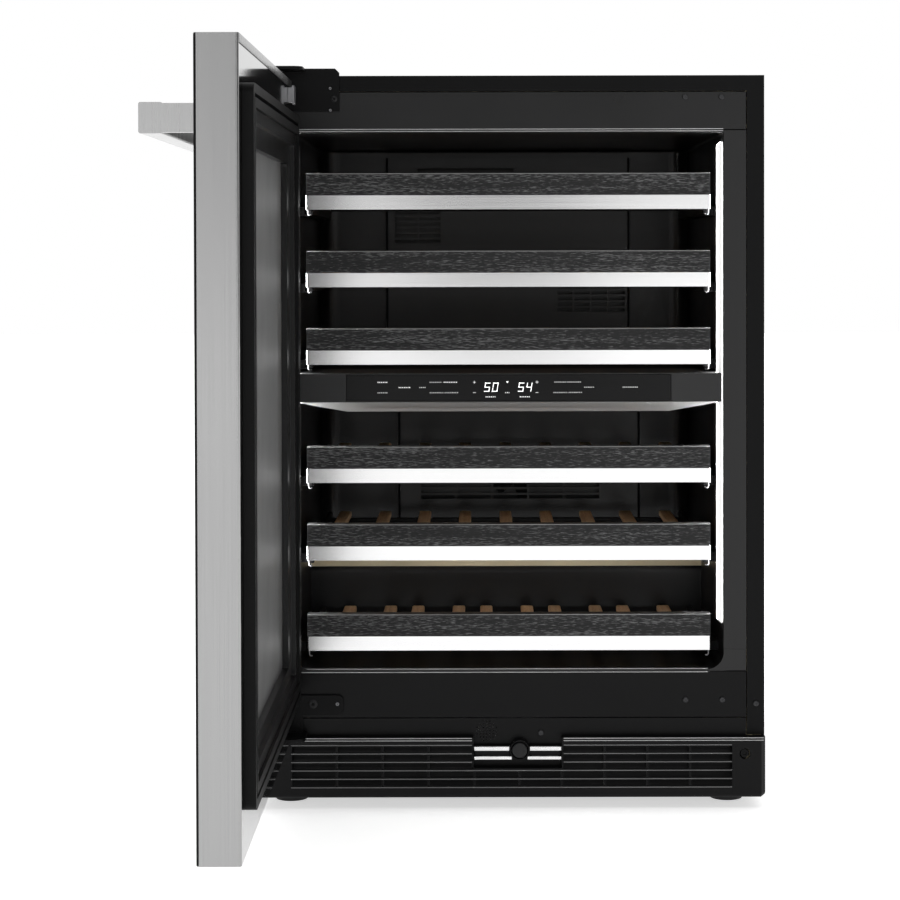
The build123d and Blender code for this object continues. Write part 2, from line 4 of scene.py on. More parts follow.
import bmesh
import bpy
import numpy as np
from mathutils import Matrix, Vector

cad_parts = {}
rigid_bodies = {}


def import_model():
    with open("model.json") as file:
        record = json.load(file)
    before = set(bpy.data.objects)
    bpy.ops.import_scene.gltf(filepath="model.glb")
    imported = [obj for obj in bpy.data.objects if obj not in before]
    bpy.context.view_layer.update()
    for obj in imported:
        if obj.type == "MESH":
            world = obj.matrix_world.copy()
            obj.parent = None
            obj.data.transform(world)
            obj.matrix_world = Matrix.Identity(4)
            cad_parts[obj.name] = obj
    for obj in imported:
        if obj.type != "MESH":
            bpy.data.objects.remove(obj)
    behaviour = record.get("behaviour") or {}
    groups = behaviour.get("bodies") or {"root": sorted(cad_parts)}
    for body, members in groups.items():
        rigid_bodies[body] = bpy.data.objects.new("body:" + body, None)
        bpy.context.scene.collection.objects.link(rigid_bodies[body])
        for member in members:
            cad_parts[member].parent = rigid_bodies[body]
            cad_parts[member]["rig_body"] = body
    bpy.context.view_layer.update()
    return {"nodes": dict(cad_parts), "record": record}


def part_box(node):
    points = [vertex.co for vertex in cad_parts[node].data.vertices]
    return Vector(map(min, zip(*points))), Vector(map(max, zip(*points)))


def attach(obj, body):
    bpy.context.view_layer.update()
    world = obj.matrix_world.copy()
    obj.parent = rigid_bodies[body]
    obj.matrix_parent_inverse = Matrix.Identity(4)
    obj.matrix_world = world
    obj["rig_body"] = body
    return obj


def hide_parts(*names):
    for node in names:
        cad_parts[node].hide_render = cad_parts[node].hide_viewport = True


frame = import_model()
nodes = frame["nodes"]
scene = bpy.context.scene
shelfCount = 6


cameraSet = {"place": (-0.0355, -3.0437, 0.6565), "lens": 93.24, "pitch": 0.91, "roll": 0.122,
             "shiftX": -0.0316, "shiftY": -0.1771}


def makeCamera(s):
    data = bpy.data.cameras.new("camera")
    data.lens, data.sensor_width = s["lens"], 36.0
    data.shift_x, data.shift_y = s["shiftX"], s["shiftY"]
    data.clip_end = 60
    camera = bpy.data.objects.new("camera", data)
    camera.location = s["place"]
    camera.rotation_euler = (math.radians(90 - s["pitch"]), math.radians(s["roll"]), 0)
    scene.collection.objects.link(camera)
    scene.camera = camera


makeCamera(cameraSet)


def newMaterial(name):
    material = bpy.data.materials.new(name)
    material.use_nodes = True
    tree = material.node_tree
    return material, tree, shaderOf(tree)


def objectPoints(tree, stretch=(1, 1, 1)):
    # object coordinates, in metres, multiplied along each axis.
    place = tree.nodes.new("ShaderNodeTexCoord")
    mapping = tree.nodes.new("ShaderNodeMapping")
    mapping.inputs["Scale"].default_value = stretch
    tree.links.new(place.outputs["Object"], mapping.inputs["Vector"])
    return mapping.outputs["Vector"]


def noise(tree, points, scale, detail=3.0, rough=0.5, twist=0.0):
    node = tree.nodes.new("ShaderNodeTexNoise")
    node.inputs["Scale"].default_value = scale
    node.inputs["Detail"].default_value = detail
    node.inputs["Roughness"].default_value = rough
    node.inputs["Distortion"].default_value = twist
    tree.links.new(points, node.inputs["Vector"])
    return node.outputs["Fac"]


def ramp(tree, value, stops):
    # colour by value: each stop is a place from 0 to 1 and a colour.
    node = tree.nodes.new("ShaderNodeValToRGB")
    elements = node.color_ramp.elements
    while len(elements) < len(stops):
        elements.new(0.5)
    for element, (at, colour) in zip(elements, stops):
        element.position = at
        element.color = (*colour, 1)
    tree.links.new(value, node.inputs["Fac"])
    return node.outputs["Color"]


def spread(tree, value, low, high):
    # moves a value from 0 to 1 into the range low to high.
    return mapped(tree, value, 0.0, 1.0, low, high)


def mapped(tree, value, fromMin, fromMax, toMin=0.0, toMax=1.0):
    # moves a value from one range into another, and holds it at the ends.
    node = tree.nodes.new("ShaderNodeMapRange")
    for key, end in zip(("From Min", "From Max", "To Min", "To Max"), (fromMin, fromMax, toMin, toMax)):
        node.inputs[key].default_value = end
    tree.links.new(value, node.inputs["Value"])
    return node.outputs["Result"]


def axisOf(tree, axis):
    # one object coordinate, in metres.
    split = tree.nodes.new("ShaderNodeSeparateXYZ")
    tree.links.new(objectPoints(tree), split.inputs["Vector"])
    return split.outputs[axis]


def shaderOf(tree):
    return next(n for n in tree.nodes if n.type == "BSDF_PRINCIPLED")


def bump(tree, shader, height, strength, distance):
    node = tree.nodes.new("ShaderNodeBump")
    node.inputs["Strength"].default_value = strength
    node.inputs["Distance"].default_value = distance
    tree.links.new(height, node.inputs["Height"])
    tree.links.new(node.outputs["Normal"], shader.inputs["Normal"])


def finish(shader, **values):
    names = {"specular": "Specular IOR Level", "coat": "Coat Weight", "coatRough": "Coat Roughness",
             "rough": "Roughness", "metal": "Metallic", "ior": "IOR", "aniso": "Anisotropic",
             "clear": "Transmission Weight", "alpha": "Alpha", "sheen": "Sheen Weight"}
    for key, value in values.items():
        shader.inputs[names[key]].default_value = value


def moulded(name, colour, rough, specular=0.5, grain=2600.0, depth=0.12, drift=0.06):
    # moulded or painted surface: fine grain in the bump, slow drift in the roughness.
    material, tree, shader = newMaterial(name)
    points = objectPoints(tree)
    slow = noise(tree, points, 9.0, 2.0)
    low = tuple(c * 0.82 for c in colour)
    high = tuple(min(1.0, c * 1.18) for c in colour)
    tree.links.new(ramp(tree, slow, [(0.3, low), (0.7, high)]), shader.inputs["Base Color"])
    tree.links.new(spread(tree, slow, rough - drift, rough + drift), shader.inputs["Roughness"])
    bump(tree, shader, noise(tree, points, grain, 2.0), depth, 0.0002)
    finish(shader, specular=specular)
    return material


def brushed(name, colour, rough, along, depth=0.12, contrast=0.06):
    # brushed metal: noise drawn out along one axis, in tone, roughness and bump.
    material, tree, shader = newMaterial(name)
    stretch = [900.0, 900.0, 900.0]
    stretch["XYZ".index(along)] = 5.0
    lines = noise(tree, objectPoints(tree, stretch), 1.0, 5.0, 0.6)
    cloud = noise(tree, objectPoints(tree), 4.0, 2.0)
    low = tuple(c * (1 - contrast) for c in colour)
    high = tuple(min(1.0, c * (1 + contrast)) for c in colour)
    tree.links.new(ramp(tree, lines, [(0.25, low), (0.75, high)]), shader.inputs["Base Color"])
    mixed = tree.nodes.new("ShaderNodeMath")
    mixed.operation = "MULTIPLY_ADD"
    mixed.inputs[1].default_value = 0.3
    tree.links.new(cloud, mixed.inputs[0])
    tree.links.new(lines, mixed.inputs[2])
    tree.links.new(spread(tree, mixed.outputs[0], rough * 0.75, rough * 1.25), shader.inputs["Roughness"])
    bump(tree, shader, lines, depth, 0.00005)
    finish(shader, metal=1.0)
    return material


def streaks(tree, along, length, width, detail, twist=0.0):
    # noise drawn out along one axis; length and width are in metres
    stretch = [1 / width] * 3
    stretch["XYZ".index(along)] = 1 / length
    return noise(tree, objectPoints(tree, stretch), 1.0, detail, 0.55, twist)


def grainedWood(name, along, tones, rough, specular, s):
    # wood: slow bands of growth, crossed by short fine pore streaks
    material, tree, shader = newMaterial(name)
    bands = streaks(tree, along, s["bandLength"], s["bandWidth"], 3.0, 0.6)
    pores = streaks(tree, along, s["poreLength"], s["poreWidth"], 2.0, 0.2)
    together = tree.nodes.new("ShaderNodeMath")
    together.operation = "MULTIPLY_ADD"
    together.inputs[1].default_value = s["bandShare"]
    tree.links.new(bands, together.inputs[0])
    tree.links.new(pores, together.inputs[2])
    value = spread(tree, together.outputs[0], 0.0, 1.0 / (1.0 + s["bandShare"]))
    stops = [(0.40, tones[0]), (0.54, tones[1]), (s["crest"], tones[2])]
    tree.links.new(ramp(tree, value, stops), shader.inputs["Base Color"])
    tree.links.new(spread(tree, pores, rough - 0.08, rough + 0.1), shader.inputs["Roughness"])
    bump(tree, shader, pores, s["relief"], 0.0004)
    finish(shader, specular=specular)
    return material


def paneGlass(name, colour, rough, straight, grazing):
    # a pane that lets the view through face on and turns to a sheen when seen along it
    material, tree, shader = newMaterial(name)
    smear = noise(tree, objectPoints(tree), 14.0, 3.0)
    tree.links.new(spread(tree, smear, rough * 0.8, rough * 1.2), shader.inputs["Roughness"])
    slant = tree.nodes.new("ShaderNodeLayerWeight")
    slant.inputs["Blend"].default_value = 0.3
    opacity = spread(tree, slant.outputs["Facing"], straight, grazing)
    tree.links.new(opacity, shader.inputs["Alpha"])
    shader.inputs["Base Color"].default_value = (*colour, 1)
    finish(shader, specular=0.5)
    return material


doorSet = {"rimFrom": -0.2572, "rimTo": -0.2564, "brushedRough": 0.24, "rimRough": 0.07}


def doorSteel(name, colour, s):
    # brushed steel whose folded back rim, one plane of the open door, is polished
    material = brushed(name, colour, s["brushedRough"], "Z")
    tree = material.node_tree
    rim = mapped(tree, axisOf(tree, "X"), s["rimFrom"], s["rimTo"], s["brushedRough"], s["rimRough"])
    tree.links.new(rim, shaderOf(tree).inputs["Roughness"])
    return material


# the keel tone is painted light, a pale grey standing for the light the keel catches; the face tone is the
# beam's own black
beamSet = {"keelTo": 0.4798, "faceFrom": 0.4804, "face": (0.016, 0.016, 0.0165), "keel": (0.27, 0.27, 0.27)}


def beamPlastic(name, s):
    # the control beam: black face, and below its lower edge a paler grey on the keel that is painted light,
    # standing for the light the keel catches
    material = moulded(name, s["face"], 0.42, 0.35)
    tree = material.node_tree
    paintedKeelLight = mapped(tree, axisOf(tree, "Z"), s["keelTo"], s["faceFrom"])
    tones = ramp(tree, paintedKeelLight, [(0.0, s["keel"]), (1.0, s["face"])])
    tree.links.new(tones, shaderOf(tree).inputs["Base Color"])
    return material


def glowing(name, colour, strength, middle=None, half=0.002):
    # a lamp or a lit mark; with a middle, the glow fades out to both sides of that line in Y
    material, tree, shader = newMaterial(name)
    shader.inputs["Base Color"].default_value = (*colour, 1)
    shader.inputs["Emission Color"].default_value = (*colour, 1)
    shader.inputs["Emission Strength"].default_value = strength
    if middle is not None:
        away, size = tree.nodes.new("ShaderNodeMath"), tree.nodes.new("ShaderNodeMath")
        away.operation, size.operation = "SUBTRACT", "ABSOLUTE"
        away.inputs[1].default_value = middle
        tree.links.new(axisOf(tree, "Y"), away.inputs[0])
        tree.links.new(away.outputs[0], size.inputs[0])
        fade = mapped(tree, size.outputs[0], half, half * 1.7, strength, strength * 0.01)
        tree.links.new(fade, shader.inputs["Emission Strength"])
    cloud = noise(tree, objectPoints(tree), 300.0)
    tree.links.new(spread(tree, cloud, 0.4, 0.6), shader.inputs["Roughness"])
    return material


frontGrain = {"bandLength": 0.2, "bandWidth": 0.007, "poreLength": 0.009, "poreWidth": 0.0008,
              "bandShare": 0.4, "relief": 0.35, "crest": 0.60}
slatGrain = {"bandLength": 0.3, "bandWidth": 0.004, "poreLength": 0.012, "poreWidth": 0.0006,
             "bandShare": 0.8, "relief": 0.2, "crest": 0.64}
ebony = [(0.008, 0.008, 0.0082), (0.015, 0.015, 0.0155), (0.14, 0.14, 0.142)]
honey = [(0.54, 0.33, 0.17), (0.78, 0.54, 0.32), (0.88, 0.68, 0.46)]
finishes = {
    "black_paint": moulded("blackPaint", (0.0032, 0.0032, 0.0034), 0.42, 0.11),
    "black_trim": moulded("blackTrim", (0.0034, 0.0034, 0.0036), 0.3, 0.12),
    "black_liner": moulded("blackLiner", (0.005, 0.005, 0.0052), 0.3, 0.35, 900.0, 0.05, 0.04),
    "black_matt": moulded("blackMatt", (0.010, 0.010, 0.0105), 0.5, 0.3),
    "foam": moulded("foam", (0.62, 0.55, 0.38), 0.85, 0.2, 400.0, 0.6),
    "stainless": brushed("stainless", (0.40, 0.40, 0.40), 0.26, "Z"),
    "bright_steel": brushed("brightSteel", (0.74, 0.74, 0.74), 0.18, "X", 0.06, 0.03),
    "plated_steel": brushed("platedSteel", (0.30, 0.30, 0.31), 0.38, "Z", 0.1, 0.05),
    "black_oak": grainedWood("blackOak", "X", ebony, 0.5, 0.3, frontGrain),
    "oak": grainedWood("oak", "Y", honey, 0.5, 0.35, slatGrain),
    "touch_glass": moulded("touchGlass", (0.004, 0.004, 0.0042), 0.2, 0.14, 300.0, 0.0, 0.02),
    "tinted_glass": paneGlass("tintedGlass", (0.012, 0.012, 0.013), 0.05, 0.62, 0.93),
    "clear_glass": paneGlass("clearGlass", (0.16, 0.16, 0.16), 0.42, 0.08, 0.8),
    "white_light": glowing("whiteLight", (1.0, 1.0, 1.0), 16.0),
    "aluminium": brushed("aluminium", (0.5, 0.5, 0.51), 0.4, "Z"),
    "seal_rubber": moulded("sealRubber", (0.003, 0.003, 0.003), 0.5, 0.12),
    "green_board": moulded("greenBoard", (0.02, 0.14, 0.05), 0.35, 0.5),
    "compressor_black": moulded("compressorBlack", (0.01, 0.01, 0.01), 0.3, 0.5),
}
barLow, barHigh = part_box("light_strips")
ownFinish = {
    "door_skin": doorSteel("doorSteel", (0.32, 0.32, 0.32), doorSet),
    "control_housing": beamPlastic("beamPlastic", beamSet),
    "top_header": moulded("headerGloss", (0.005, 0.005, 0.0052), 0.3, 0.32),
    "side_posts": moulded("postSatin", (0.006, 0.006, 0.0062), 0.34, 0.34),
    "base_pan": moulded("panBlack", (0.004, 0.004, 0.0042), 0.45, 0.15),
    "light_strips": glowing("barGlow", (1.0, 1.0, 1.0), 48.0, (barLow.y + barHigh.y) / 2, 0.003),
    "cabinet_screws": brushed("darkScrews", (0.05, 0.05, 0.052), 0.35, "Z"),
}
slotOf = {part["node"]: part["material_slot"] for part in frame["record"]["subparts"]}


def paint(piece, material):
    piece.data.materials.clear()
    piece.data.materials.append(material)


for name, node in nodes.items():
    paint(node, ownFinish.get(name) or finishes[slotOf[name]])
    for polygon in node.data.polygons:
        polygon.use_smooth = False
print("materials on", len(nodes), "nodes")


def meshFrom(name, points, faces, slotName, smooth=True):
    # A mesh object from an array of points and an array of four-cornered faces.
    data = bpy.data.meshes.new(name)
    data.from_pydata(points.reshape(-1, 3).tolist(), [], faces.tolist())
    data.update()
    data.polygons.foreach_set("use_smooth", [smooth] * len(data.polygons))
    piece = bpy.data.objects.new(name, data)
    scene.collection.objects.link(piece)
    paint(piece, finishes[slotName])
    return piece


def gridFaces(rows, columns, start=0, loop=True):
    # faces of a tube: each row of points is joined to the next, and each row closes on itself.
    r, c = np.meshgrid(np.arange(rows - 1), np.arange(columns if loop else columns - 1), indexing="ij")
    after = (c + 1) % columns
    corners = [r * columns + c, r * columns + after, (r + 1) * columns + after, (r + 1) * columns + c]
    return np.stack(corners, -1).reshape(-1, 4) + start


def roundedSection(wide, high, radius, steps=4):
    # rounded rectangle: four quarter arcs of one radius, counted round from the right.
    turn = np.linspace(0, math.pi / 2, steps + 1)
    angles = np.concatenate([turn + k * math.pi / 2 for k in range(4)])
    signX = np.repeat([1, -1, -1, 1], steps + 1)
    signZ = np.repeat([1, 1, -1, -1], steps + 1)
    x = signX * (wide / 2 - radius) + radius * np.cos(angles)
    z = signZ * (high / 2 - radius) + radius * np.sin(angles)
    return np.stack([x, z], -1)


def roundedBars(name, centres, sizes, radius, along, slotName):
    # bars with a rounded section and softened ends: the section is carried along the bar and
    # drawn in by a quarter circle over the last radius at each end
    turn = np.linspace(0, math.pi / 2, 4)
    axis = "XYZ".index(along)
    wide, high = [k for k in range(3) if k != axis]
    allPoints, faces, start = [], [], 0
    for centre, size in zip(centres, sizes):
        half = size[axis] / 2
        r = min(radius, size[wide] * 0.45, size[high] * 0.45)
        near = -half + r - r * np.cos(turn)
        place = np.concatenate([near, -near[::-1]])
        draw = np.concatenate([r - r * np.sin(turn), (r - r * np.sin(turn))[::-1]])
        section = roundedSection(size[wide], size[high], r)
        rings = section[None] - np.sign(section)[None] * draw[:, None, None]
        points = np.zeros((len(place), len(section), 3))
        points[..., axis] = place[:, None]
        points[..., wide] = rings[..., 0]
        points[..., high] = rings[..., 1]
        allPoints.append((points + np.array(centre)).reshape(-1, 3))
        faces += gridFaces(len(place), len(section), start).tolist()
        last = start + (len(place) - 1) * len(section)
        faces += [list(range(start, start + len(section))), list(range(last, last + len(section)))]
        start += len(place) * len(section)
    data = bpy.data.meshes.new(name)
    data.from_pydata(np.concatenate(allPoints).tolist(), [], faces)
    data.update()
    return dressed(name, data, slotName)


def dressed(name, data, slotName, smoothAngle=40):
    # outward normals, smooth shading up to an angle, and its finish.
    work = bmesh.new()
    work.from_mesh(data)
    bmesh.ops.remove_doubles(work, verts=work.verts, dist=1e-6)
    bmesh.ops.recalc_face_normals(work, faces=work.faces)
    for edge in work.edges:
        edge.smooth = edge.is_manifold and edge.calc_face_angle(3.2) < math.radians(smoothAngle)
    for face in work.faces:
        face.smooth = True
    work.to_mesh(data)
    work.free()
    piece = bpy.data.objects.new(name, data)
    scene.collection.objects.link(piece)
    paint(piece, finishes[slotName])
    return piece


def softened(name, node, width, segments=2, slotName=None):
    # A merged copy of a CAD node with its sharp edges rounded; it stands for the node.
    data = nodes[node].data.copy()
    slotName = slotName or slotOf[node]
    piece = dressed(name, data, slotName, 30)
    work = bmesh.new()
    work.from_mesh(data)
    bmesh.ops.dissolve_limit(work, angle_limit=math.radians(0.5), verts=work.verts, edges=work.edges)
    work.to_mesh(data)
    work.free()
    soft = piece.modifiers.new("soft", "BEVEL")
    soft.width, soft.segments = width, segments
    soft.limit_method, soft.angle_limit = "ANGLE", math.radians(35)
    soft.harden_normals = True
    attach(piece, nodes[node]["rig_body"])
    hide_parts(node)
    return piece


shelfSet = {"slatRound": 0.0022, "railRound": 0.0012}


def islands(node):
    # the box of each separate solid in a CAD node, as lowest and highest corners.
    work = bmesh.new()
    work.from_mesh(nodes[node].data)
    bmesh.ops.remove_doubles(work, verts=work.verts, dist=1e-6)
    seen, boxes = set(), []
    for first in work.verts:
        if first in seen:
            continue
        stack, members = [first], []
        seen.add(first)
        while stack:
            vert = stack.pop()
            members.append(vert.co[:])
            for edge in vert.link_edges:
                other = edge.other_vert(vert)
                if other not in seen:
                    seen.add(other)
                    stack.append(other)
        corners = np.array(members)
        boxes.append((corners.min(0), corners.max(0)))
    work.free()
    return boxes


def makeShelf(n):
    # wooden slats and painted rails in the places of the rack's solids.
    rack, body = f"shelf_{n}_rack", f"shelf_{n}"
    slats, rails, bars = [], [], []
    for low, high in islands(rack):
        centre, size = (low + high) / 2, high - low
        if size[0] > 0.3:
            bars.append((centre, size))
        elif abs(size[0] - 0.016) < 0.001:
            slats.append((centre, size))
        else:
            rails.append((centre, size))
    wood = roundedBars(f"{body}_slats", *zip(*slats), shelfSet["slatRound"], "Y", "oak")
    metal = roundedBars(f"{body}_rails", *zip(*rails), shelfSet["railRound"], "Y", "black_paint")
    cross = roundedBars(f"{body}_crossbars", *zip(*bars), shelfSet["railRound"], "X", "black_paint")
    for piece, slotName in ((wood, "oak"), (metal, "black_paint"), (cross, "black_paint")):
        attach(piece, body)
        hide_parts(rack)


for n in range(1, shelfCount + 1):
    makeShelf(n)
print("shelves made")


def placed(piece, body, slotName, *standsFor):
    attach(piece, body)
    if standsFor:
        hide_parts(*standsFor)


def barsBetween(name, boxes, radius, along, slotName, body, *standsFor):
    # rounded bars given as pairs of corners in metres
    corners = np.array(boxes)
    centres, sizes = corners.mean(1), corners[:, 1] - corners[:, 0]
    piece = roundedBars(name, centres, sizes, radius, along, slotName)
    placed(piece, body, slotName, *standsFor)
    return piece


hookSet = {"wire": 0.0008, "drop": 0.0085, "curl": 0.0042, "inset": 0.0022, "back": 0.003}


def sweptTube(name, path, radius, slotName, around=10):
    # a round tube: a circle of one radius carried along the path, square to its direction
    ahead = np.gradient(path, axis=0)
    ahead /= np.linalg.norm(ahead, axis=1)[:, None]
    side = np.cross(ahead, [0.0, 1.0, 0.0])
    side /= np.linalg.norm(side, axis=1)[:, None]
    lift = np.cross(side, ahead)
    angle = np.linspace(0, 2 * math.pi, around, endpoint=False)
    rings = path[:, None] + radius * (np.cos(angle)[None, :, None] * side[:, None]
                                      + np.sin(angle)[None, :, None] * lift[:, None])
    faces = gridFaces(len(path), around).tolist()
    last = (len(path) - 1) * around
    faces += [list(range(around)), list(range(last, last + around))]
    data = bpy.data.meshes.new(name)
    data.from_pydata(rings.reshape(-1, 3).tolist(), [], faces)
    return dressed(name, data, slotName)


def makeHooks(n, s):
    # a wire catch below each end of the front strip: straight down, then curled inwards
    low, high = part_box(f"shelf_{n}_trim")
    turn = np.linspace(0, math.pi * 0.8, 9)
    for side, end in ((1, low.x), (-1, high.x)):
        x0, z0 = end + side * s["inset"], low.z + 0.004
        down = np.linspace(0, s["drop"], 5)[:-1]
        straight = np.stack([np.full(4, x0), np.full(4, 0.0), z0 - down], -1)
        curl = np.stack([x0 + side * s["curl"] * (1 - np.cos(turn)) / 2, np.full(9, 0.0),
                         z0 - s["drop"] - s["curl"] * np.sin(turn) / 2], -1)
        path = np.concatenate([straight, curl]) + [0, low.y + s["back"], 0]
        where = "left" if side > 0 else "right"
        piece = sweptTube(f"shelf_{n}_hook_{where}", path, s["wire"], "plated_steel")
        placed(piece, f"shelf_{n}", "plated_steel")


for n in range(1, shelfCount + 1):
    makeHooks(n, hookSet)

softened("louvredPlinth", "toe_grille", 0.0007)
softened("centreBeam", "control_housing", 0.0008)
softened("pullBar", "door_handle", 0.0008)
softened("hingeArms", "hinge_brackets", 0.0006)
paint(bpy.data.objects["centreBeam"], ownFinish["control_housing"])
print("hooks made, edges softened")


plateSet = {"stripLow": (0.0573, 0.0614), "stripHigh": (0.0678, 0.0729), "backing": (0.056, 0.0735),
            "ringOuter": 0.0122, "ringInner": 0.0094}


def turnedRing(name, centre, profile, slotName, around=64):
    # a ring turned about an axis along Y: each profile point is a radius and a depth
    angle = np.linspace(0, 2 * math.pi, around, endpoint=False)
    r, y = np.array(profile).T
    points = np.stack([centre[0] + r[:, None] * np.cos(angle), np.repeat(y[:, None], around, 1),
                       centre[1] + r[:, None] * np.sin(angle)], -1)
    closed = np.concatenate([points, points[:1]])
    data = bpy.data.meshes.new(name)
    data.from_pydata(closed.reshape(-1, 3).tolist(), [], gridFaces(len(closed), around).tolist())
    return dressed(name, data, slotName)


def makeButtonPlate(s):
    # two bright strips across the notch, a dark backing and a glossy ring round the button
    low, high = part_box("button_bezel")
    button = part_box("release_button")
    middle = [(button[0].x + button[1].x) / 2, (button[0].z + button[1].z) / 2]
    gap = s["ringOuter"] - 0.0004
    boxes = []
    for z0, z1 in (s["stripLow"], s["stripHigh"]):
        reach = math.sqrt(max(gap ** 2 - max(0.0, abs((z0 + z1) / 2 - middle[1]) - 0.002) ** 2, 1e-6))
        for x0, x1 in ((low.x, middle[0] - reach), (middle[0] + reach, high.x)):
            boxes.append([(x0, low.y + 0.002, z0), (x1, low.y + 0.0062, z1)])
    barsBetween("brightStrips", boxes, 0.0006, "X", "bright_steel", "cabinet", "button_bezel")
    y0, y1 = low.y, high.y
    z0, z1 = s["backing"]
    back = [[(low.x, low.y + 0.0062, z0), (middle[0] - gap, y1, z1)],
            [(middle[0] + gap, low.y + 0.0062, z0), (high.x, y1, z1)]]
    barsBetween("stripBacking", back, 0.0004, "X", "black_trim", "cabinet", "button_bezel")
    inner, outer = s["ringInner"], s["ringOuter"]
    turn = np.linspace(0, math.pi / 2, 5)
    nose = [(outer - 0.0012 + 0.0012 * math.cos(a), y0 + 0.0012 - 0.0012 * math.sin(a)) for a in turn]
    profile = [(outer, y1), *nose, (inner + 0.0012, y0), (inner, y0 + 0.0012), (inner, y1)]
    ring = turnedRing("buttonRing", middle, profile, "black_trim")
    placed(ring, "cabinet", "black_trim", "button_bezel")


makeButtonPlate(plateSet)
print("button plate made")


# both tones here are pale greys painted as edge highlights, on the cold opening and plinth and on the front
# boards
edgeSet = {"tone": 0.48, "thick": 0.0009, "proud": 0.0005, "boardHighlightTone": 0.3,
           "left": -0.2535, "topRight": 0.2545, "lowRight": 0.236, "notch": (-0.0445, 0.064)}
paintedEdgeHighlight = moulded("paintedEdgeHighlight", (edgeSet["tone"],) * 3, 0.4, 0.5)
paintedBoardHighlight = moulded("paintedBoardHighlight", (edgeSet["boardHighlightTone"],) * 3, 0.4, 0.5)


def makeEdges(s):
    # thin ridges in a pale grey that is painted highlight: the lips of the cold opening, the top of the
    # plinth and its blades
    t, out = s["thick"], s["proud"]
    header, foot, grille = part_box("top_header"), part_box("bottom_header"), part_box("toe_grille")
    boxes = []
    for x1, z, y in ((s["topRight"], header[0].z + 0.0008, header[0].y),
                     (s["topRight"], header[0].z - 0.0016, header[0].y + 0.001),
                     (s["lowRight"], foot[1].z - 0.0008, foot[0].y),
                     (s["lowRight"], foot[1].z + 0.0028, foot[0].y + 0.002)):
        boxes.append([(s["left"], y - out, z - t / 2), (x1, y + out, z + t / 2)])
    for x0, x1 in ((grille[0].x + 0.002, s["notch"][0]), (s["notch"][1], grille[1].x - 0.002)):
        for z in (grille[1].z - 0.0006, grille[1].z - 0.0034):
            boxes.append([(x0, grille[0].y - out, z - t / 2), (x1, grille[0].y + out, z + t / 2)])
    piece = barsBetween("paintedHighlightEdges", boxes, t * 0.45, "X", "black_trim", "cabinet")
    # the pale grey is painted highlight along these edges
    paint(piece, paintedEdgeHighlight)
    for n in range(1, shelfCount + 1):  # painted highlight along the top arris of each front board
        low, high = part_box(f"shelf_{n}_board")
        arris = [[(low.x + 0.0006, low.y - 0.0001, high.z - 0.0011),
                  (high.x - 0.0006, low.y + 0.0008, high.z - 0.0003)]]
        piece = barsBetween(f"shelf_{n}_arris", arris, 0.0003, "X", "black_oak", f"shelf_{n}")
        # the pale grey is a painted highlight on the arris
        paint(piece, paintedBoardHighlight)


# the tone here is the pale grey of the painted highlight on each blade nose
bladeSet = {"low": 0.0252, "pitch": 0.010, "rows": 6, "thick": 0.0011, "left": -0.2585, "right": 0.2632,
            "notch": (-0.0445, 0.064), "notchRows": 2, "tone": 0.15}


def makeBlades(s):
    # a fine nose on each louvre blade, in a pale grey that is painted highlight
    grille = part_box("toe_grille")
    boxes = []
    for row in range(s["rows"]):
        z = s["low"] + s["pitch"] * row
        spans = [(s["left"], s["right"])]
        if row > s["notchRows"]:
            spans = [(s["left"], s["notch"][0]), (s["notch"][1], s["right"])]
        for x0, x1 in spans:
            boxes.append([(x0, grille[0].y - 0.0004, z - s["thick"] / 2),
                          (x1, grille[0].y + 0.0012, z + s["thick"] / 2)])
    piece = barsBetween("bladeNoseHighlights", boxes, s["thick"] * 0.45, "X", "black_trim", "cabinet")
    # pale grey painted as the highlight on the blade noses
    paint(piece, moulded("bladeNoseHighlight", (s["tone"],) * 3, 0.4, 0.5))


makeEdges(edgeSet)
makeBlades(bladeSet)


stripSet = {"wide": 0.0023, "proud": 0.0003}


def makeDoorEdge(s):
    # dark seam along the free edge of the door, by its outer face
    low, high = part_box("door_skin")
    boxes = [[(low.x + 0.0001, low.y - s["proud"], low.z + 0.001),
              (low.x + s["wide"], low.y + 0.0006, high.z - 0.001)]]
    barsBetween("doorSeam", boxes, 0.0003, "Z", "black_trim", "door")


makeDoorEdge(stripSet)


lipSet = {"wide": 0.0085, "seam": 0.0008, "thick": 0.0004}


def makeRimLip(s):
    # folded lip along the top of the door's back rim, with a dark joint below it
    low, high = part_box("door_skin")
    top = high.z - 0.0004
    lip = [[(high.x - 0.0001, low.y + 0.003, top - s["wide"]), (high.x + s["thick"], high.y - 0.003, top)]]
    seam = [[(high.x - 0.0001, low.y + 0.003, top - s["wide"] - s["seam"]),
             (high.x + s["thick"] * 0.7, high.y - 0.003, top - s["wide"])]]
    barsBetween("rimLip", lip, 0.00015, "Y", "stainless", "door")
    barsBetween("rimSeam", seam, 0.0001, "Y", "black_trim", "door")


screwSet = {"places": {"topScrewHigh": (-0.2102, 0.852, 0.0018), "topScrewLow": (-0.2102, 0.8262, 0.0018),
                       "topBoss": (-0.2056, 0.8395, 0.0038), "lowScrew": (-0.2040, 0.1225, 0.0022),
                       "lowBoss": (-0.2330, 0.1225, 0.0055)}}


def makeBracketScrews(s):
    # domed heads with a hollow driver socket on the hinge plates
    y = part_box("hinge_brackets")[1].y - 0.0037
    for name, (x, z, r) in s["places"].items():
        turn = np.linspace(0, math.pi / 2, 6)
        dome = [(r * (0.55 + 0.45 * math.cos(a)), y - 0.0014 * math.sin(a)) for a in turn]
        socket = [(r * 0.4, y - 0.0013), (r * 0.34, y - 0.0004), (r * 0.34, y + 0.0004)]
        profile = [(r, y + 0.0004), *dome, *socket]
        slotName = "black_matt" if name.endswith("Boss") else "plated_steel"
        placed(turnedRing(name, (x, z), profile, slotName, 32), "cabinet", slotName)


plugSet = {"x": 0.2785, "z": 0.0645, "radius": 0.0052}


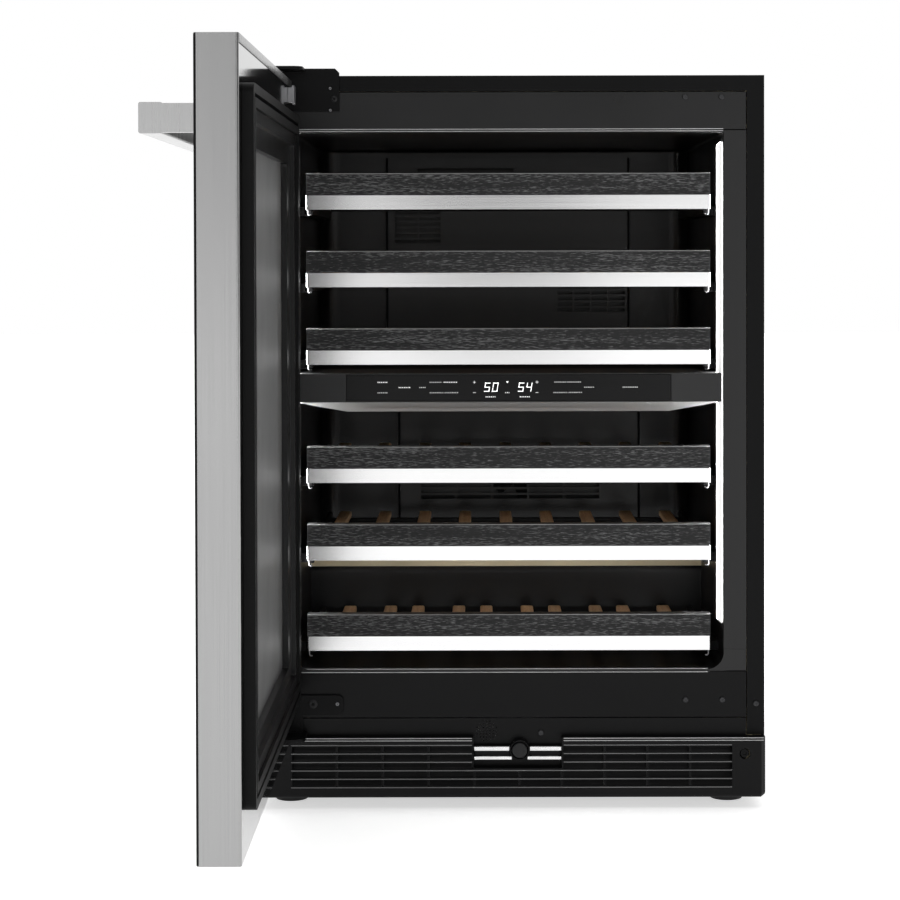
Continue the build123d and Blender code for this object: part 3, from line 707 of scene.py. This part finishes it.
def makePlinthPlugs(s):
    # recessed fixing heads in the two round holes of the plinth
    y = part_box("toe_grille")[0].y + 0.004
    r = s["radius"]
    for name, x in (("plugLeft", -s["x"]), ("plugRight", s["x"])):
        profile = [(r, y + 0.006), (r, y + 0.0006), (r * 0.88, y), (r * 0.5, y), (r * 0.4, y + 0.0012),
                   (0.0002, y + 0.0012), (0.0002, y + 0.006)]
        placed(turnedRing(name, (x, s["z"]), profile, "black_trim", 40), "cabinet", "black_trim")


makeRimLip(lipSet)
makeBracketScrews(screwSet)
makePlinthPlugs(plugSet)
print("door edge, lip and screws made")


panelSet = {"digitHigh": 0.0109, "digitWide": 0.0066, "stroke": 0.0012, "lean": 0.16, "lift": 0.00015,
            "tick": 0.0009, "tickGap": 0.0012, "tickHigh": 0.0011, "litGlow": 1.0, "dimGlow": 0.2}
segmentsOf = {"5": "afgcd", "0": "abcdef", "4": "fgbc"}


def segmentQuads(text, x, z, s):
    # seven-stroke figures as flat four-cornered strokes, leaning to the right
    w, h, t = s["digitWide"], s["digitHigh"], s["stroke"]
    boxes = {"a": (0, h - t, w, h), "d": (0, 0, w, t), "g": (0, h / 2 - t / 2, w, h / 2 + t / 2),
             "f": (0, h / 2, t, h), "e": (0, 0, t, h / 2),
             "b": (w - t, h / 2, w, h), "c": (w - t, 0, w, h / 2)}
    quads = []
    for k, figure in enumerate(text):
        left = x + k * w * 1.45
        for part in segmentsOf[figure]:
            x0, z0, x1, z1 = boxes[part]
            i = t * 0.12
            corners = np.array([(x0 + i, z0 + i), (x1 - i, z0 + i), (x1 - i, z1 - i), (x0 + i, z1 - i)])
            corners[:, 0] += left + corners[:, 1] * s["lean"]
            corners[:, 1] += z
            quads.append(corners)
    return quads


def bar(x, z, w, h):
    # a flat dash centred on a point
    return np.array([(x - w / 2, z - h / 2), (x + w / 2, z - h / 2),
                     (x + w / 2, z + h / 2), (x - w / 2, z + h / 2)])


def dashes(x, z, count, s):
    # a short row of plain ticks in the place of a word
    step = s["tick"] + s["tickGap"]
    return [bar(x + step * (k - (count - 1) / 2), z, s["tick"], s["tickHigh"]) for k in range(count)]


def makeMarks(name, quads, strength, s):
    # marks just proud of the touch panel, with a hair's thickness
    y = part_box("touch_panel")[0].y - s["lift"]
    flat = np.array(quads)
    front = np.stack([flat[..., 0], np.full(flat.shape[:2], y), flat[..., 1]], -1)
    rear = front + [0, s["lift"] * 0.8, 0]
    points = np.stack([front, rear], 1).reshape(-1, 3)
    box = np.array([(0, 1, 2, 3), (7, 6, 5, 4), (0, 4, 5, 1), (1, 5, 6, 2), (2, 6, 7, 3), (3, 7, 4, 0)])
    faces = (box[None] + 8 * np.arange(len(quads))[:, None, None]).reshape(-1, 4)
    data = bpy.data.meshes.new(name)
    data.from_pydata(points.tolist(), [], faces.tolist())
    piece = dressed(name, data, "white_light")
    paint(piece, glowing(name + "Glow", (1.0, 1.0, 1.0), strength))
    placed(piece, "cabinet", "white_light")


def panelMarks(s):
    low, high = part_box("touch_panel")
    middle = (low.z + high.z) / 2
    upper, centre, lower, under = middle + 0.0066, middle + 0.0004, middle - 0.0058, middle - 0.0108
    lit = segmentQuads("50", -0.0296, middle - 0.0048, s) + segmentQuads("54", 0.0106, middle - 0.0048, s)
    for x, z, count in ((-0.1497, upper, 6), (-0.1236, centre, 7), (-0.0691, upper, 8),
                        (-0.0215, under, 6), (0.0190, under, 6)):
        lit += dashes(x, z, count, s)
    lit.append(np.array([(-0.0030, upper + 0.001), (0.0, upper + 0.001),
                         (-0.0012, upper - 0.001), (-0.0018, upper - 0.001)]))  # a small arrowhead
    dim = []
    for x, z, count in ((-0.1497, lower, 6), (-0.1023, centre, 4), (-0.0868, upper, 7), (-0.0857, lower, 8),
                        (-0.0679, lower, 8), (0.0611, upper, 7), (0.0777, upper, 8), (0.0611, lower, 8),
                        (0.0790, lower, 8), (0.0955, centre, 6), (0.1441, centre, 9), (-0.0016, lower, 3)):
        dim += dashes(x, z, count, s)
    for x in (-0.0407, 0.0336):
        dim += [bar(x, upper, 0.0034, 0.0006), bar(x, upper, 0.0006, 0.0034), bar(x, lower, 0.0034, 0.0006)]
    makeMarks("litMarks", lit, s["litGlow"], s)
    makeMarks("dimMarks", dim, s["dimGlow"], s)


panelMarks(panelSet)
print("marks made")


studioSet = {"frontRoom": 0.16, "backdrop": 1.0, "sun": 1.4, "boxGlow": 0.9, "inner": 0.9,
             "floorTone": 0.92, "floorGlow": 0.58}


def makeFloor(s):
    # a wide level floor
    size, drop = 16.0, 0.0004
    points = np.array([(-size, -size, -drop), (size, -size, -drop),
                       (size, size, -drop), (-size, size, -drop)])
    floor = meshFrom("floor", points, np.array([[0, 1, 2, 3]]), "black_matt", smooth=False)
    material, tree, shader = newMaterial("floorPaper")
    tone = s["floorTone"]
    grain = noise(tree, objectPoints(tree), 40.0, 2.0)
    tones = [(0.2, (tone * 0.98,) * 3), (0.8, (tone,) * 3)]
    tree.links.new(ramp(tree, grain, tones), shader.inputs["Base Color"])
    shader.inputs["Emission Color"].default_value = (1, 1, 1, 1)
    shader.inputs["Emission Strength"].default_value = s["floorGlow"]  # lit from below like a light table
    finish(shader, rough=0.9, specular=0.0)
    paint(floor, material)


def areaLight(name, place, aim, wide, high, glow):
    # glow is the brightness of the panel itself; its power follows from its area
    data = bpy.data.lights.new(name, "AREA")
    data.shape, data.size, data.size_y = "RECTANGLE", wide, high
    data.energy = glow * math.pi * wide * high
    lamp = bpy.data.objects.new(name, data)
    lamp.location = place
    lamp.rotation_euler = (Vector(aim) - Vector(place)).to_track_quat("-Z", "Y").to_euler()
    scene.collection.objects.link(lamp)
    return lamp


def makeSun(s):
    # even light from above, as from a large ceiling panel
    data = bpy.data.lights.new("ceiling", "SUN")
    data.energy, data.angle = s["sun"], math.radians(80)
    lamp = bpy.data.objects.new("ceiling", data)
    lamp.rotation_euler = (math.radians(-6), 0, 0)
    scene.collection.objects.link(lamp)


def makeWorld(s):
    # white behind the object, a dim room in front of it
    world = bpy.data.worlds.new("studio")
    world.use_nodes = True
    tree = world.node_tree
    shade = tree.nodes["Background"]
    place, split = tree.nodes.new("ShaderNodeTexCoord"), tree.nodes.new("ShaderNodeSeparateXYZ")
    tree.links.new(place.outputs["Generated"], split.inputs["Vector"])
    level = mapped(tree, split.outputs["Y"], -0.1, 0.5, s["frontRoom"], s["backdrop"])
    tree.links.new(level, shade.inputs["Strength"])
    shade.inputs["Color"].default_value = (1, 1, 1, 1)
    scene.world = world


makeFloor(studioSet)
makeWorld(studioSet)
makeSun(studioSet)
inner = areaLight("innerFill", (0, -0.242, 0.48), (0, 0.2, 0.48), 0.44, 0.60, studioSet["inner"])
inner.visible_camera = inner.visible_glossy = False  # lights the cold space, and isn't seen itself
for name, side in (("leftBox", -1), ("rightBox", 1)):
    areaLight(name, (side * 1.0, -3.6, 1.35), (side * 0.95, 0, 1.2), 1.5, 2.2, studioSet["boxGlow"])
scene.view_settings.view_transform = "Standard"
print("studio set")
